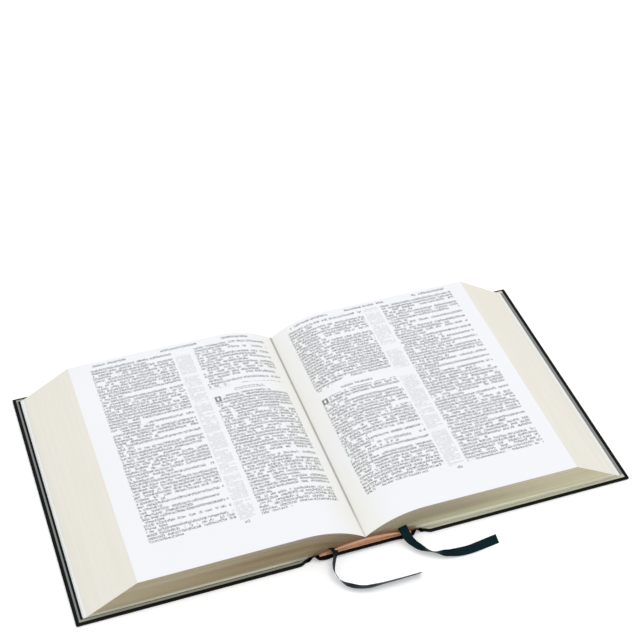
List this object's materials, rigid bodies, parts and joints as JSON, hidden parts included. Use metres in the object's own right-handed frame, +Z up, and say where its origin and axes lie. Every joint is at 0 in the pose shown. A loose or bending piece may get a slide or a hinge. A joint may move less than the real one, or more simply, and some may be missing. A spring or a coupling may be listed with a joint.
{
  "type": "lectern bible",
  "caption": "Large leather-bound lectern Bible lying open at the middle, with ribbon markers; both covers close.",
  "frame": {"origin": "on the table under the middle of the spine, at the centre of the open covers", "axes": "+X towards the back cover (the right-hand page), +Y towards the head of the pages, +Z up from the table"},
  "size_m": [0.698, 0.4247, 0.0433],
  "materials": {
    "spine_leather": "pebbled, soft sheen",
    "cover_cloth": "fine grain, satin",
    "greyboard": "matt",
    "endpaper": "matt",
    "text_paper": "matt",
    "lining_paper": "matt",
    "backing_cloth": "open weave",
    "end_band": "sewn",
    "ribbon": "satin"
  },
  "bodies": {
    "spine": {"spine_leather": "spine_leather", "raised_bands": "spine_leather", "spine_stiffener": "greyboard", "spine_lining": "lining_paper", "sewing_tapes": "backing_cloth", "mull": "backing_cloth", "headband": "end_band", "tailband": "end_band", "left_ribbon_tail": "ribbon", "right_ribbon_tail": "ribbon", "front_joint_leather": "spine_leather", "back_joint_leather": "spine_leather"},
    "front_cover": {"front_board": "greyboard", "front_cover_cloth": "cover_cloth", "front_pastedown": "endpaper"},
    "front_section_1": {"front_section_1": "text_paper", "front_flyleaves": "endpaper"},
    "front_gutter_1": {"front_gutter_1": "text_paper"},
    "front_section_2": {"front_section_2": "text_paper"},
    "front_gutter_2": {"front_gutter_2": "text_paper", "left_ribbon_run": "ribbon"},
    "front_section_3": {"front_section_3": "text_paper"},
    "front_gutter_3": {"front_gutter_3": "text_paper"},
    "front_section_4": {"front_section_4": "text_paper"},
    "front_gutter_4": {"front_gutter_4": "text_paper"},
    "front_section_5": {"front_section_5": "text_paper"},
    "front_gutter_5": {"front_gutter_5": "text_paper"},
    "front_section_6": {"front_section_6": "text_paper"},
    "front_gutter_6": {"front_gutter_6": "text_paper"},
    "back_cover": {"back_board": "greyboard", "back_cover_cloth": "cover_cloth", "back_pastedown": "endpaper"},
    "back_section_1": {"back_section_1": "text_paper", "back_flyleaves": "endpaper"},
    "back_gutter_1": {"back_gutter_1": "text_paper"},
    "back_section_2": {"back_section_2": "text_paper"},
    "back_gutter_2": {"back_gutter_2": "text_paper"},
    "back_section_3": {"back_section_3": "text_paper"},
    "back_gutter_3": {"back_gutter_3": "text_paper", "right_ribbon_run": "ribbon"},
    "back_section_4": {"back_section_4": "text_paper"},
    "back_gutter_4": {"back_gutter_4": "text_paper"},
    "back_section_5": {"back_section_5": "text_paper"},
    "back_gutter_5": {"back_gutter_5": "text_paper"},
    "back_section_6": {"back_section_6": "text_paper"},
    "back_gutter_6": {"back_gutter_6": "text_paper"}
  },
  "joints": [
    {"name": "front_cover_hinge", "type": "hinge", "parent": "spine", "child": "front_cover", "pos_m": [-0.0501, 0, -0.0064], "axis": [0, 1, 0], "range_deg": [0, 90], "deforming": ["front_joint_leather"]},
    {"name": "front_section_1_turn", "type": "hinge", "parent": "spine", "child": "front_section_1", "pos_m": [-0.04306, 0, 0.00064], "axis": [0, 1, 0], "range_deg": [0, 90]},
    {"name": "front_gutter_1_bend", "type": "hinge", "parent": "front_section_1", "child": "front_gutter_1", "pos_m": [-0.06934, 0, 0.0086], "axis": [0, 1, 0], "range_deg": [-9.47, 0], "deforming": ["front_gutter_1"]},
    {"name": "front_section_2_turn", "type": "hinge", "parent": "spine", "child": "front_section_2", "pos_m": [-0.03798, 0, 0.00573], "axis": [0, 1, 0], "range_deg": [0, 90]},
    {"name": "front_gutter_2_bend", "type": "hinge", "parent": "front_section_2", "child": "front_gutter_2", "pos_m": [-0.06564, 0, 0.01482], "axis": [0, 1, 0], "range_deg": [-14.49, 0], "deforming": ["front_gutter_2", "left_ribbon_run"]},
    {"name": "front_section_3_turn", "type": "hinge", "parent": "spine", "child": "front_section_3", "pos_m": [-0.03289, 0, 0.01081], "axis": [0, 1, 0], "range_deg": [0, 90]},
    {"name": "front_gutter_3_bend", "type": "hinge", "parent": "front_section_3", "child": "front_gutter_3", "pos_m": [-0.06205, 0, 0.02102], "axis": [0, 1, 0], "range_deg": [-18.67, 0], "deforming": ["front_gutter_3"]},
    {"name": "front_section_4_turn", "type": "hinge", "parent": "spine", "child": "front_section_4", "pos_m": [-0.02781, 0, 0.01589], "axis": [0, 1, 0], "range_deg": [0, 90]},
    {"name": "front_gutter_4_bend", "type": "hinge", "parent": "front_section_4", "child": "front_gutter_4", "pos_m": [-0.05848, 0, 0.02718], "axis": [0, 1, 0], "range_deg": [-22.27, 0], "deforming": ["front_gutter_4"]},
    {"name": "front_section_5_turn", "type": "hinge", "parent": "spine", "child": "front_section_5", "pos_m": [-0.02272, 0, 0.02098], "axis": [0, 1, 0], "range_deg": [0, 90]},
    {"name": "front_gutter_5_bend", "type": "hinge", "parent": "front_section_5", "child": "front_gutter_5", "pos_m": [-0.05489, 0, 0.03332], "axis": [0, 1, 0], "range_deg": [-25.45, 0], "deforming": ["front_gutter_5"]},
    {"name": "front_section_6_turn", "type": "hinge", "parent": "spine", "child": "front_section_6", "pos_m": [-0.01764, 0, 0.02606], "axis": [0, 1, 0], "range_deg": [0, 90]},
    {"name": "front_gutter_6_bend", "type": "hinge", "parent": "front_section_6", "child": "front_gutter_6", "pos_m": [-0.05126, 0, 0.03943], "axis": [0, 1, 0], "range_deg": [-28.32, 0], "deforming": ["front_gutter_6"]},
    {"name": "back_cover_hinge", "type": "hinge", "parent": "spine", "child": "back_cover", "pos_m": [0.0501, 0, -0.0064], "axis": [0, -1, 0], "range_deg": [0, 90], "deforming": ["back_joint_leather"]},
    {"name": "back_section_1_turn", "type": "hinge", "parent": "spine", "child": "back_section_1", "pos_m": [0.04306, 0, 0.00064], "axis": [0, -1, 0], "range_deg": [0, 90]},
    {"name": "back_gutter_1_bend", "type": "hinge", "parent": "back_section_1", "child": "back_gutter_1", "pos_m": [0.06934, 0, 0.0086], "axis": [0, -1, 0], "range_deg": [-9.47, 0], "deforming": ["back_gutter_1"]},
    {"name": "back_section_2_turn", "type": "hinge", "parent": "spine", "child": "back_section_2", "pos_m": [0.03798, 0, 0.00573], "axis": [0, -1, 0], "range_deg": [0, 90]},
    {"name": "back_gutter_2_bend", "type": "hinge", "parent": "back_section_2", "child": "back_gutter_2", "pos_m": [0.06564, 0, 0.01482], "axis": [0, -1, 0], "range_deg": [-14.49, 0], "deforming": ["back_gutter_2"]},
    {"name": "back_section_3_turn", "type": "hinge", "parent": "spine", "child": "back_section_3", "pos_m": [0.03289, 0, 0.01081], "axis": [0, -1, 0], "range_deg": [0, 90]},
    {"name": "back_gutter_3_bend", "type": "hinge", "parent": "back_section_3", "child": "back_gutter_3", "pos_m": [0.06205, 0, 0.02102], "axis": [0, -1, 0], "range_deg": [-18.67, 0], "deforming": ["back_gutter_3", "right_ribbon_run"]},
    {"name": "back_section_4_turn", "type": "hinge", "parent": "spine", "child": "back_section_4", "pos_m": [0.02781, 0, 0.01589], "axis": [0, -1, 0], "range_deg": [0, 90]},
    {"name": "back_gutter_4_bend", "type": "hinge", "parent": "back_section_4", "child": "back_gutter_4", "pos_m": [0.05848, 0, 0.02718], "axis": [0, -1, 0], "range_deg": [-22.27, 0], "deforming": ["back_gutter_4"]},
    {"name": "back_section_5_turn", "type": "hinge", "parent": "spine", "child": "back_section_5", "pos_m": [0.02272, 0, 0.02098], "axis": [0, -1, 0], "range_deg": [0, 90]},
    {"name": "back_gutter_5_bend", "type": "hinge", "parent": "back_section_5", "child": "back_gutter_5", "pos_m": [0.05489, 0, 0.03332], "axis": [0, -1, 0], "range_deg": [-25.45, 0], "deforming": ["back_gutter_5"]},
    {"name": "back_section_6_turn", "type": "hinge", "parent": "spine", "child": "back_section_6", "pos_m": [0.01764, 0, 0.02606], "axis": [0, -1, 0], "range_deg": [0, 90]},
    {"name": "back_gutter_6_bend", "type": "hinge", "parent": "back_section_6", "child": "back_gutter_6", "pos_m": [0.05126, 0, 0.03943], "axis": [0, -1, 0], "range_deg": [-28.32, 0], "deforming": ["back_gutter_6"]}
  ],
  "couplings": [
    {"joint": "front_section_1_turn", "follows": "front_cover_hinge", "ratio": 1},
    {"joint": "front_gutter_1_bend", "follows": "front_cover_hinge", "ratio": -0.10522},
    {"joint": "front_section_2_turn", "follows": "front_cover_hinge", "ratio": 1},
    {"joint": "front_gutter_2_bend", "follows": "front_cover_hinge", "ratio": -0.161},
    {"joint": "front_section_3_turn", "follows": "front_cover_hinge", "ratio": 1},
    {"joint": "front_gutter_3_bend", "follows": "front_cover_hinge", "ratio": -0.20744},
    {"joint": "front_section_4_turn", "follows": "front_cover_hinge", "ratio": 1},
    {"joint": "front_gutter_4_bend", "follows": "front_cover_hinge", "ratio": -0.24744},
    {"joint": "front_section_5_turn", "follows": "front_cover_hinge", "ratio": 1},
    {"joint": "front_gutter_5_bend", "follows": "front_cover_hinge", "ratio": -0.28278},
    {"joint": "front_section_6_turn", "follows": "front_cover_hinge", "ratio": 1},
    {"joint": "front_gutter_6_bend", "follows": "front_cover_hinge", "ratio": -0.31467},
    {"joint": "back_section_1_turn", "follows": "back_cover_hinge", "ratio": 1},
    {"joint": "back_gutter_1_bend", "follows": "back_cover_hinge", "ratio": -0.10522},
    {"joint": "back_section_2_turn", "follows": "back_cover_hinge", "ratio": 1},
    {"joint": "back_gutter_2_bend", "follows": "back_cover_hinge", "ratio": -0.161},
    {"joint": "back_section_3_turn", "follows": "back_cover_hinge", "ratio": 1},
    {"joint": "back_gutter_3_bend", "follows": "back_cover_hinge", "ratio": -0.20744},
    {"joint": "back_section_4_turn", "follows": "back_cover_hinge", "ratio": 1},
    {"joint": "back_gutter_4_bend", "follows": "back_cover_hinge", "ratio": -0.24744},
    {"joint": "back_section_5_turn", "follows": "back_cover_hinge", "ratio": 1},
    {"joint": "back_gutter_5_bend", "follows": "back_cover_hinge", "ratio": -0.28278},
    {"joint": "back_section_6_turn", "follows": "back_cover_hinge", "ratio": 1},
    {"joint": "back_gutter_6_bend", "follows": "back_cover_hinge", "ratio": -0.31467}
  ]
}
